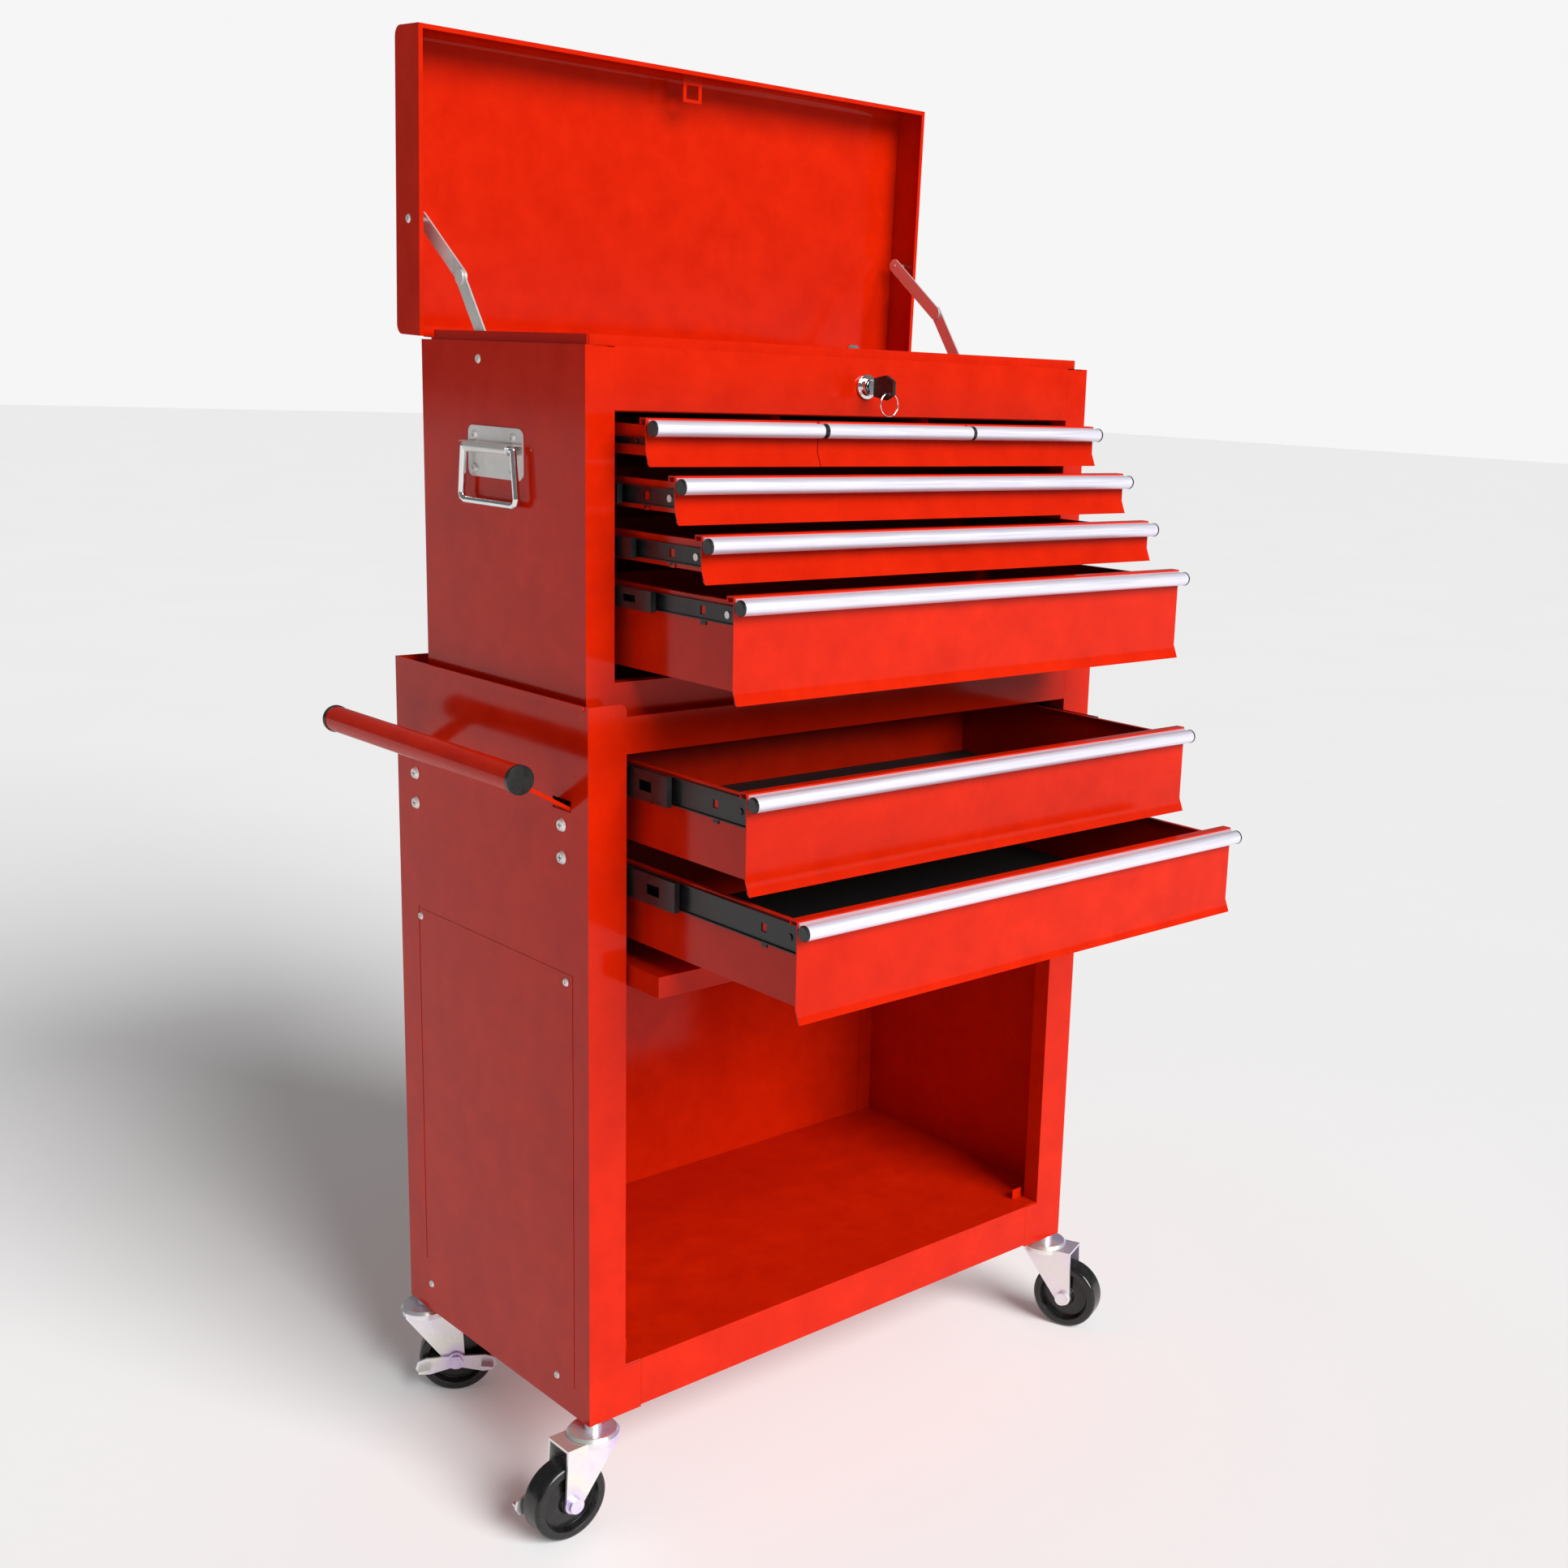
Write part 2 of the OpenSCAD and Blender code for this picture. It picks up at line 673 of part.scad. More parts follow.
// Chest half of the piano hinge, with its pin
module chest_hinge() {
  color(red) difference() {
    union() {
      box([-chest_x + 12, chest_back_y + 0.02, hinge_z - 16],
          [chest_x - 12, chest_back_y + 1, hinge_z - 0.3]);
      for (k = [0 : 2 : 8]) knuckle(k);
    }
    x_cyl(1.2, -chest_x, chest_x, hinge_y, hinge_z);
    for (k = [1 : 2 : 7]) knuckle_gap(k);
  }
  color(zinc) x_cyl(1.15, -chest_x + 12, chest_x - 12, hinge_y, hinge_z);
}

knuckle_w = (chest_w - 24) / 9;
module knuckle(k) {
  x0 = -chest_x + 12 + k * knuckle_w;
  x_cyl(hinge_r, x0 + fit / 2, x0 + knuckle_w - fit / 2, hinge_y, hinge_z);
}

module chest_fasteners() {
  color(zinc) pair() {
    for (y = carry_screw_y, z = carry_screw_z)
      translate([chest_x + 1.6, y, z]) screw_x(4.5, 2, 2, 6);
    translate([chest_x, hinge_y + stay_chest[0], hinge_z + stay_chest[1]])
      screw_x(4, 1.2, 2, chest_x - stay_x + 0.5);
  }
}

// Pressed plate of a carry handle, with the folded channel that holds the bail
module carry_plates() {
  color(zinc) pair() translate([chest_x + 0.05, carry_y, 0]) difference() {
    union() {
      rounded_plate(1.5, carry_half, carry_plate_z, carry_corner);
      along_y(-carry_half, carry_half) difference() {
        translate([carry_axis_x, carry_axis_z]) circle(bail_r + 1.8);
        translate([carry_axis_x, carry_axis_z]) circle(bail_r + 0.06);
      }
      for (s = [0, 1]) along_y(-carry_half, carry_half)
        polygon([[0, carry_axis_z + 4.8 - s * 9.6], [carry_axis_x, carry_axis_z + 4.8 - s * 9.6],
                 [carry_axis_x, carry_axis_z + 3.3 - s * 6.6], [0, carry_axis_z + 3.3 - s * 6.6]]);
    }
    for (s = [-1, 1])
      box([2.4, s * bail_half - 6, carry_axis_z - 12],
          [30, s * bail_half + 6, carry_axis_z + 3.6]);
    for (y = carry_screw_y, z = carry_screw_z) x_cyl(2.05, -1, 3, y - carry_y, z);
  }
}

// Plate on the plane x = 0 with its corners rounded
module rounded_plate(t, half, z, r) {
  box([0, -half + r, z[0]], [t, half - r, z[1]]);
  box([0, -half, z[0] + r], [t, half, z[1] - r]);
  for (y = [-half + r, half - r], c = [z[0] + r, z[1] - r]) x_cyl(r, 0, t, y, c);
}

// Rod bent along a chain of points of the side view
module rod(p, r) {
  for (i = [0 : len(p) - 2]) translate([0, p[i][0], p[i][1]]) {
    v = p[i + 1] - p[i];
    rotate([atan2(-v[0], v[1]), 0, 0]) cylinder(r = r, h = norm(v));
    if (i > 0) sphere(r * 1.01);
  }
}

// Half of the bail, from the end of its stub in the channel to the bottom bar
bail_side = let (low = bail_half + bail_flare, c = bail_corner) [
  [bail_half - bail_stub, 0], [bail_half, 0], [low, c - bail_drop],
  [low - 0.3 * c, 0.3 * c - bail_drop], [low - c, -bail_drop]
];
bail_other_side = [for (i = [len(bail_side) - 1 : -1 : 0]) [-bail_side[i][0], bail_side[i][1]]];

// Bail hanging from the plate's channel, right-hand one
module carry_bail() {
  color(chrome) translate([chest_x + 0.05 + carry_axis_x, carry_y, carry_axis_z])
    rod(concat(bail_side, bail_other_side), bail_r);
}

module carry_bail_left() {
  mirror([1, 0, 0]) carry_bail();
}

module carry_bail_right() {
  carry_bail();
}

// ---------- lock ----------

module lock_barrel() {
  color(chrome) difference() {
    union() {
      y_cyl(lock_r, chest_y - lock_proud, chest_y + 16, 0, lock_z);
      y_cyl(lock_r + 3, chest_y - 2.5, chest_y - 0.02, 0, lock_z);
      y_cyl(lock_r + 3.5, chest_y + 1.05, chest_y + 4, 0, lock_z);
    }
    y_cyl(plug_r + 0.05, chest_y - lock_proud - 1, chest_y + 20, 0, lock_z);
  }
}

// Turning plug with its cam plate, which stands up to the lid's catch
module lock_plug() {
  color(chrome) difference() {
    union() {
      y_cyl(plug_r, chest_y - lock_proud - 0.5, chest_y + 18, 0, lock_z);
      box([-10, chest_y + 18, lock_z - 10], [10, chest_y + 19.5, hinge_z + step_h + 3]);
      y_cyl(4, chest_y + 19.5, chest_y + 23, 0, lock_z);
    }
    box([-0.75, chest_y - lock_proud - 1, lock_z - key_h / 2 - 0.2],
        [0.75, chest_y, lock_z + key_h / 2 + 0.2]);
    for (s = [-1, 1]) translate([s * 10, 0, hinge_z + step_h + 3])
      rotate([0, 45, 0]) box([-4, chest_y + 17, -4], [4, chest_y + 21, 4]);
  }
}

// Flat blade in the plug's slot and a moulded head
module key() {
  color(chrome)
    box([-0.7, key_y - 4, lock_z - key_h / 2], [0.7, chest_y - 0.8, lock_z + key_h / 2]);
  color(dark) difference() {
    along_x(3.4) difference() {
      polygon([
        [key_y - 3.9, lock_z - 8], [key_y - 20, lock_z - 11], [key_y - 30, lock_z - 6],
        [key_y - 30, lock_z + 6], [key_y - 20, lock_z + 11], [key_y - 3.9, lock_z + 8]
      ]);
      translate(key_hole) circle(2.2);
    }
    box([-0.7 - eps, key_y - 4.1, lock_z - key_h / 2 - eps],
        [0.7 + eps, key_y, lock_z + key_h / 2 + eps]);
  }
}

// Split ring hanging through the hole in the key head
module key_ring() {
  color(chrome) translate([0, key_hole[0], key_hole[1] - ring_r + 1.2]) rotate([90, 0, 0])
    rotate_extrude() translate([ring_r, 0]) circle(ring_wire, $fn = 16);
}

// ---------- lid ----------

module at_lid() {
  translate([0, hinge_y, hinge_z]) rotate([-lid_open, 0, 0]) translate([0, -hinge_y, -hinge_z])
    children();
}

// Shallow pan, closed position: top skin, four walls with an inward hem
module lid_pan() {
  z0 = chest_top + fit;
  z1 = chest_top + lid_h;
  color(red) at_lid() {
    difference() {
      along_x(2 * chest_x) polygon(lid_outline(0, z0, z1));
      along_x(2 * chest_x - 2 * sheet) polygon(lid_outline(sheet, z0 - 1, z1 - sheet));
      for (s = [-1, 1])
        x_cyl(2.1, s * chest_x - 3, s * chest_x + 3, hinge_y + stay_lid[0], hinge_z + stay_lid[1]);
    }
    pair() box([chest_x - 4, chest_y + sheet, z0], [chest_x - sheet + eps, chest_back_y - sheet,
               z0 + sheet]);
    box([-chest_x + sheet, chest_y + sheet - eps, z0], [chest_x - sheet, chest_y + 4, z0 + sheet]);
    lid_catch();
  }
  color(zinc) at_lid() pair()
    translate([chest_x, hinge_y + stay_lid[0], hinge_z + stay_lid[1]])
      screw_x(4, 1.2, 2, chest_x - stay_x + stay_t + fit + 0.5);
}

// Side view of the lid, drawn inwards by d, with softened upper edges
function lid_outline(d, z0, z1) = let (r = 9 - d, y0 = chest_y + d, y1 = chest_back_y - d) concat(
  [[y0, z0]],
  [for (k = [0 : 6]) let (a = 180 - 90 * k / 6) [y0 + r + r * cos(a), z1 - r + r * sin(a)]],
  [for (k = [0 : 6]) let (a = 90 - 90 * k / 6) [y1 - r + r * cos(a), z1 - r + r * sin(a)]],
  [[y1, z0]]
);

// Slotted bracket welded inside the lid's front wall
module lid_catch() {
  difference() {
    along_x(22) polygon(folded([
      [chest_y + sheet + 0.02, chest_top + 22], [chest_y + sheet + 0.02, chest_top + 12],
      [chest_y + 28, chest_top + 12], [chest_y + 28, chest_top + 20]
    ], 1.2));
    box([-7, chest_y + 12, chest_top + 8], [7, chest_y + 25, chest_top + 16]);
  }
}

module lid_hinge() {
  color(red) at_lid() difference() {
    union() {
      box([-chest_x + 12, chest_back_y + 0.02, hinge_z + 0.4],
          [chest_x - 12, chest_back_y + 1, hinge_z + 16]);
      for (k = [1 : 2 : 7]) knuckle(k);
    }
    x_cyl(1.2, -chest_x, chest_x, hinge_y, hinge_z);
    for (k = [0 : 2 : 8]) knuckle_gap(k);
  }
}

module knuckle_gap(k) {
  x0 = -chest_x + 12 + k * knuckle_w;
  x_cyl(hinge_r + 0.3, x0 - eps, x0 + knuckle_w + eps, hinge_y, hinge_z);
}

// One stay link between two points of the side view, at x
module stay_link(a, b, x) {
  v = b - a;
  translate([x, hinge_y + a[0], hinge_z + a[1]]) rotate([atan2(v[1], v[0]), 0, 0]) {
    box([0, 0, -stay_w / 2], [stay_t, norm(v), stay_w / 2]);
    x_cyl(stay_w / 2, 0, stay_t, 0, 0);
    x_cyl(stay_w / 2, 0, stay_t, norm(v), 0);
  }
}

// Chest ends of the two folding stays, with the elbow rivets
module stay_lower_links() {
  e = elbow(lid_open);
  color(zinc) pair() {
    difference() {
      stay_link(stay_chest, e, stay_x);
      x_cyl(2.05, stay_x - 1, stay_x + 3, hinge_y + stay_chest[0], hinge_z + stay_chest[1]);
    }
    x_cyl(6.5, stay_x + stay_t - eps, stay_x + stay_t + 1, hinge_y + e[0], hinge_z + e[1]);
  }
}

module stay_upper_links() {
  e = elbow(lid_open);
  p = turned(stay_lid, lid_open);
  color(zinc) pair() difference() {
    stay_link(p, e, stay_x - stay_t - fit);
    x_cyl(2.05, stay_x - 4, stay_x + 3, hinge_y + p[0], hinge_z + p[1]);
  }
}

// ---------- door ----------

// Pan with its skin on top, stored under the drawers
module door_panel() {
  y0 = -door_proud;
  color(red) difference() {
    box([-door_x, y0, door_z - door_t], [door_x, door_end_y, door_z]);
    box([-door_x + sheet, y0 + sheet, door_z - door_t - 1],
        [door_x - sheet, door_end_y - sheet, door_z - sheet]);
    x_cyl(3.05, -door_x - 1, door_x + 1, roller_y, roller_z);
  }
}

// Pivot pins and rollers at the rear corners of the door
module door_rollers() {
  color(zinc) pair() {
    x_cyl(3, door_x - 6, track_x0 + 14, roller_y, roller_z);
    x_cyl(roller_r, track_x0 + 1.5, track_x0 + 13, roller_y, roller_z);
  }
}

// ---------- drawers ----------

// Folded front in the side view, face at y = 0 and lower lip at z = 0
function front_profile(h) = folded([
  [-lip_out + 3.5, 2.6], [-lip_out, 0], [0, lip_h], [0, h], [9, h], [9, h - 5]
], -sheet);

// A drawer without its pull: front, tray, liner mat and the slide strips.
// The face is at y = 0 and the front's lower edge at z = 0.
module tray(w, h, d, inset, strip_h, strip_drop) {
  x = w / 2 - inset;
  z0 = 8;
  z1 = h - 6;
  color(red) {
    along_x(w) polygon(front_profile(h));
    translate([0, d + sheet + eps, 0]) rotate([90, 0, 0]) linear_extrude(d) polygon(folded([
      [-x + 4, z1], [-x, z1], [-x, z0], [x, z0], [x, z1], [x - 4, z1]
    ], sheet));
    box([-x + sheet - eps, d - sheet, z0 + sheet - eps], [x - sheet + eps, d, z1 - sheet]);
    box([-x + sheet - eps, sheet - eps, z0], [x - sheet + eps, 2 * sheet, z1 - sheet]);
  }
  color(dark) {
    pair() translate([x, 0, h - strip_drop]) slide_strip(d, strip_h);
    box([-x + 1.5, 2.5, z0 + sheet + eps], [x - 1.5, d - 1.5, z0 + sheet + liner_t]);
  }
}

// Channel riveted to the tray's side, with a screw near its front end and, on the
// ball slides, the square window and the tab of its release catch
module slide_strip(d, h) {
  difference() {
    along_y(3, d - 4)
      polygon(folded([[strip_t, h / 2], [eps, h / 2], [eps, -h / 2], [strip_t, -h / 2]], 1));
    if (h > 2 * strip_win)
      box([-1, 51, -strip_win / 2], [strip_t + 1, 51 + strip_win, strip_win / 2]);
  }
  if (h > 2 * strip_win)
    box([eps, 51, -h / 2 - 4], [1, 51 + strip_win, -h / 2 + 0.5]);
  x_cyl(min(3, h / 2 - 1.2), 1 - eps, 2, 22, 0);
}

// Round-nosed extrusion with a web that lies on the face, and its two end caps
module pull(w, h) {
  grip = w - 2 * cap_len;
  translate([0, 0, h - pull_drop]) {
    color(alu) {
      x_cyl(pull_r, -grip / 2, grip / 2, -pull_out, 0);
      along_x(grip) polygon([
        [-pull_out, 4.5], [-0.02, 6.5], [-0.02, -3.5], [-1.2, -3.5], [-1.2, 2.5],
        [-pull_out, 2.5]
      ]);
    }
    color(dark) pair() translate([grip / 2 + 2 * eps, -pull_out, 0]) rotate([0, 90, 0]) {
      cylinder(r = pull_r + cap_proud, h = cap_len / 2);
      translate([0, 0, cap_len / 2 - eps])
        cylinder(r1 = pull_r + cap_proud, r2 = pull_r - 0.6, h = cap_len / 2 - eps);
    }
  }
}

module at_small(i) {
  translate([small_x(i), chest_y - small_open[i], chest_row_z(0)]) children();
}

module small_tray(i) {
  at_small(i) tray(small_front_w, shallow_front_h, chest_tray_d, 8, 6, shallow_front_h / 2);
}

module small_pull(i) {
  at_small(i) pull(small_front_w + 0.8, shallow_front_h);
}

function upper_h(i) = i == 2 ? deep_front_h : shallow_front_h;

module at_upper(i) {
  translate([0, chest_y - chest_open[i], chest_row_z(i + 1)]) children();
}

module upper_tray(i) {
  at_upper(i) tray(2 * chest_front_x, upper_h(i), chest_tray_d, tray_inset,
                   chest_slide_h - 3, chest_slide_drop(upper_h(i)));
}

module upper_pull(i) {
  at_upper(i) pull(2 * chest_front_x + 2.4, upper_h(i));
}

module at_lower(i) {
  translate([0, -cab_open[i], cab_row_z(i)]) children();
}

module lower_tray(i) {
  at_lower(i) tray(2 * cab_front_x, cab_front_h, cab_tray_d, tray_inset,
                   cab_slide_h - 3, cab_slide_drop);
}

module lower_pull(i) {
  at_lower(i) pull(2 * cab_front_x + 2.4, cab_front_h);
}

// Middle members of a pair of slides: a C section round the tray's channel, with a
// window in its web and a lobed stop at its front end
module middle_members(open_x, y, z, len, h) {
  x1 = open_x - fixed_t - fit;
  x0 = x1 - middle_t;
  half = h / 2 - 0.4;
  color(dark) pair() {
    difference() {
      along_y(y, y + len) polygon(folded([
        [x0, z - half], [x1, z - half], [x1, z + half], [x0, z + half]
      ], 1));
      box([x1 - 2, y + 22, z - h / 6], [x1 + 1, y + 40, z + h / 6]);
    }
    box([x0 - 2, y, z - half], [x1 - 1 + eps, y + 3, z + half]);
    for (s = [-1, 1])
      x_cyl(half * 0.42, x0 - 2, x1 - 1 + eps, y + 7, z + s * half * 0.5);
  }
}

module upper_slides(i) {
  z = chest_row_z(i + 1) + upper_h(i) - chest_slide_drop(upper_h(i));
  middle_members(chest_open_x, chest_y - upper_middle_out[i], z, 190, chest_slide_h);
}

module lower_slides(i) {
  z = cab_row_z(i) + cab_front_h - cab_slide_drop;
  middle_members(cab_open_x, -lower_middle_out[i], z, 240, cab_slide_h);
}

// ---------- nodes ----------

placed() {
  cab_side_left();
  cab_side_right();
  cab_back();
  cab_floor();
  cab_top_deck();  // cab_top
  cab_runners();
  cab_fasteners();
  push_handle();
  caster_stems();
  chest_wrap();
  chest_bottom();
  chest_front_panel();
  chest_till();
  chest_runners();
  chest_hinge();
  chest_fasteners();
  carry_plates();
  lock_barrel();
  lid_pan();
  lid_hinge();
  stay_lower_links();
  stay_upper_links();
  carry_bail_left();
  carry_bail_right();
  lock_plug();
  key();
  key_ring();
  door_panel();
  door_rollers();
  for (i = [0 : 2]) {
    small_tray(i);
    small_pull(i);
    upper_tray(i);
    upper_pull(i);
    upper_slides(i);
  }
  for (i = [0 : 1]) {
    lower_tray(i);
    lower_pull(i);
    lower_slides(i);
  }
  for (i = [0 : 3]) {
    fork(i);
    wheel(i);
  }
  brake(0);  // brake_1
  brake(2);  // brake_3
}
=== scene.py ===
"""Looks of the two-piece rolling tool chest: enamelled sheet steel, ball slides,
anodised pulls, zinc casters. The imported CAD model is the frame, and every piece of
it stays in place; this script gives it edges, materials, a floor, light and a camera.
"""

import json
import math

import bpy
from mathutils import Matrix, Vector


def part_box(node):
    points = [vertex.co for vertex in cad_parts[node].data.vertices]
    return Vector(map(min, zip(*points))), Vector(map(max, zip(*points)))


MM = 0.001
WIDE_PULLS = ["upper_pull_1", "upper_pull_2", "upper_pull_3", "lower_pull_1", "lower_pull_2"]
SMALL_PULLS = ["small_pull_1", "small_pull_2", "small_pull_3"]
TRAYS = [
    "small_tray_1", "small_tray_2", "small_tray_3",
    "upper_tray_1", "upper_tray_2", "upper_tray_3",
    "lower_tray_1", "lower_tray_2",
]
WIDE_TRAYS = TRAYS[3:]
SLIDES = [
    "upper_slides_1", "upper_slides_2", "upper_slides_3", "lower_slides_1", "lower_slides_2",
    "cab_runners", "chest_runners",
]
RED_PARTS = [
    "cab_side_left", "cab_side_right", "cab_back", "cab_floor", "cab_top", "push_handle",
    "chest_wrap", "chest_bottom", "chest_front_panel", "chest_till", "chest_hinge",
    "lid_pan", "lid_hinge", "door_panel",
]
ZINC_PARTS = [
    "cab_fasteners", "chest_fasteners", "carry_plates", "stay_lower_links", "stay_upper_links",
    "door_rollers",
]
CASTER_PARTS = ["caster_stems", "fork_1", "fork_2", "fork_3", "fork_4", "brake_1", "brake_3"]
CHROME_PARTS = ["carry_bail_left", "carry_bail_right", "lock_barrel", "lock_plug", "key_ring"]
WHEELS = ["wheel_1", "wheel_2", "wheel_3", "wheel_4"]

CAP_LENGTH = 2.5 * MM
TUBE_CAP = 3.99 * MM
SCREW_SETBACK = 22 * MM
FRONT_LIP = 5 * MM          # how far a drawer's lower lip stands out from its face
KEY_HEAD_GAP = 4.1 * MM     # from the lock plug's face to the key's head
RIVET_R = 4.3 * MM


# ---------- material helpers ----------

class Shader:
    """A Principled material with short calls for the nodes that feed it."""

    def __init__(self, name):
        self.material = bpy.data.materials.new(name)
        self.material.use_nodes = True
        tree = self.material.node_tree
        self.nodes = tree.nodes
        self.links = tree.links
        self.bsdf = next(n for n in self.nodes if n.type == "BSDF_PRINCIPLED")
        self.coords = self.nodes.new("ShaderNodeTexCoord")

    def set(self, **values):
        for key, value in values.items():
            self.bsdf.inputs[key.replace("_", " ")].default_value = value

    def mapping(self, scale):
        node = self.nodes.new("ShaderNodeMapping")
        node.inputs["Scale"].default_value = scale
        self.links.new(self.coords.outputs["Object"], node.inputs["Vector"])
        return node.outputs["Vector"]

    def noise(self, scale, detail=4.0, roughness=0.55, stretch=(1, 1, 1)):
        node = self.nodes.new("ShaderNodeTexNoise")
        node.inputs["Scale"].default_value = scale
        node.inputs["Detail"].default_value = detail
        node.inputs["Roughness"].default_value = roughness
        self.links.new(self.mapping(stretch), node.inputs["Vector"])
        return node.outputs["Fac"]

    def ramp(self, source, stops):
        node = self.nodes.new("ShaderNodeValToRGB")
        elements = node.color_ramp.elements
        while len(elements) < len(stops):
            elements.new(0.5)
        for element, (position, colour) in zip(elements, stops):
            element.position = position
            element.color = (*colour, 1) if len(colour) == 3 else colour
        self.links.new(source, node.inputs["Fac"])
        return node.outputs["Color"]

    def spread(self, source, low, high, start=0.3, stop=0.7):
        node = self.nodes.new("ShaderNodeMapRange")
        node.inputs["From Min"].default_value = start
        node.inputs["From Max"].default_value = stop
        node.inputs["To Min"].default_value = low
        node.inputs["To Max"].default_value = high
        self.links.new(source, node.inputs["Value"])
        return node.outputs["Result"]

    def mix(self, factor, a, b):
        node = self.nodes.new("ShaderNodeMix")
        node.data_type = "RGBA"
        self.links.new(factor, node.inputs["Factor"])
        for socket, value in ((node.inputs[6], a), (node.inputs[7], b)):
            if isinstance(value, tuple):
                socket.default_value = (*value, 1)
            else:
                self.links.new(value, socket)
        return node.outputs[2]

    def bump(self, height, strength, distance):
        node = self.nodes.new("ShaderNodeBump")
        node.inputs["Strength"].default_value = strength
        node.inputs["Distance"].default_value = distance
        self.links.new(height, node.inputs["Height"])
        self.links.new(node.outputs["Normal"], self.bsdf.inputs["Normal"])

    def feed(self, socket, source):
        self.links.new(source, self.bsdf.inputs[socket])


# ---------- materials ----------

def red_enamel():
    """Stoved gloss enamel with a faint mottle and orange peel."""
    s = Shader("red_enamel")
    mottle = s.noise(26, detail=8, roughness=0.68)
    cloud = s.noise(3.2, detail=2)
    base = s.ramp(mottle, [(0.34, (0.50, 0.011, 0.0008)), (0.66, (0.61, 0.016, 0.001))])
    s.feed("Base Color", s.mix(s.spread(cloud, 0, 0.4), base, (0.46, 0.008, 0.0006)))
    s.feed("Roughness", s.spread(mottle, 0.10, 0.16))
    s.set(Specular_IOR_Level=0.16)
    s.bump(s.noise(420, detail=2), 0.03, 0.0003)
    return s.material


def black_zinc():
    """Blackened steel of the ball slides."""
    s = Shader("black_zinc")
    patch = s.noise(60, detail=5)
    s.feed("Base Color", s.ramp(patch, [(0.3, (0.008, 0.008, 0.009)), (0.7, (0.022, 0.021, 0.022))]))
    s.feed("Roughness", s.spread(patch, 0.24, 0.4))
    s.set(Metallic=0.35, Specular_IOR_Level=0.6)
    s.bump(s.noise(500, detail=2), 0.05, 0.0003)
    return s.material


def zinc(name, tints, roughness, metallic):
    """Bright zinc whose passivate film shows faint colours."""
    s = Shader(name)
    film = s.noise(16, detail=3, roughness=0.5)
    steps = [(0.3 + 0.4 * k / (len(tints) - 1), tint) for k, tint in enumerate(tints)]
    s.feed("Base Color", s.ramp(film, steps))
    s.feed("Roughness", s.spread(s.noise(90, detail=5), roughness, roughness + 0.14))
    s.set(Metallic=metallic)
    s.bump(s.noise(700, detail=2), 0.05, 0.0002)
    return s.material


def chrome():
    """Polished plating with faint smears."""
    s = Shader("chrome")
    smear = s.noise(80, detail=4)
    s.feed("Base Color", s.ramp(smear, [(0.3, (0.78, 0.79, 0.80)), (0.7, (0.88, 0.885, 0.89))]))
    s.feed("Roughness", s.spread(smear, 0.06, 0.16))
    s.set(Metallic=1.0)
    s.bump(s.noise(900, detail=1), 0.03, 0.0001)
    return s.material


def brushed_aluminium():
    """Anodised extrusion with fine drawing lines along its length."""
    s = Shader("brushed_aluminium")
    lines = s.noise(900, detail=3, stretch=(0.02, 1, 1))
    cloud = s.noise(9, detail=2)
    base = s.ramp(lines, [(0.3, (0.72, 0.70, 0.80)), (0.7, (0.84, 0.83, 0.90))])
    s.feed("Base Color", s.mix(s.spread(cloud, 0, 0.5), base, (0.78, 0.74, 0.88)))
    s.feed("Roughness", s.spread(lines, 0.34, 0.46))
    s.set(Metallic=0.5)
    s.bump(lines, 0.10, 0.0001)
    return s.material


def black_plastic(name, low, high, roughness):
    """Moulded black plastic with a fine grain."""
    s = Shader(name)
    grain = s.noise(140, detail=6)
    s.feed("Base Color", s.ramp(grain, [(0.3, (low,) * 3), (0.7, (high,) * 3)]))
    s.feed("Roughness", s.spread(grain, roughness, roughness + 0.16))
    s.set(Specular_IOR_Level=0.5)
    s.bump(s.noise(800, detail=2), 0.08, 0.0002)
    return s.material


def liner_foam():
    """Ribbed black mat on the drawer floors."""
    s = Shader("liner_foam")
    grain = s.noise(300, detail=4)
    s.feed("Base Color", s.ramp(grain, [(0.3, (0.006, 0.006, 0.007)), (0.7, (0.02, 0.02, 0.021))]))
    s.feed("Roughness", s.spread(grain, 0.7, 0.9))
    s.bump(s.noise(1200, detail=2, stretch=(0.1, 1, 1)), 0.3, 0.0004)
    return s.material


def pale_floor():
    """Matt white ground, a little lit of its own so that it meets the surround."""
    s = Shader("pale_floor")
    s.feed("Base Color", s.ramp(s.noise(1.5), [(0.3, (0.90, 0.90, 0.90)), (0.7, (0.92, 0.92, 0.92))]))
    s.feed("Roughness", s.spread(s.noise(40), 0.7, 0.8))
    s.set(Specular_IOR_Level=0.2, Emission_Color=(1, 1, 1, 1), Emission_Strength=0.09)
    return s.material


# ---------- dressing the CAD nodes ----------

def dress(name, material, bevel=0.25 * MM):
    """One material on a whole node, and softened edges."""
    node = frame["nodes"][name]
    node.data.materials.clear()
    node.data.materials.append(material)
    weld = node.modifiers.new("weld", "WELD")
    weld.merge_threshold = 0.01 * MM
    edges = node.modifiers.new("edges", "BEVEL")
    edges.width = bevel
    edges.segments = 2
    edges.limit_method = "ANGLE"
    edges.angle_limit = math.radians(32)
    shading = node.modifiers.new("shading", "WEIGHTED_NORMAL")
    shading.weight = 100
    for face in node.data.polygons:
        face.use_smooth = True


def dress_faces(name, material, belongs):
    """A second material on the faces of a node whose middle passes the test."""
    node = frame["nodes"][name]
    node.data.materials.append(material)
    slot = len(node.data.materials) - 1
    for face in node.data.polygons:
        if belongs(face.center):
            face.material_index = slot


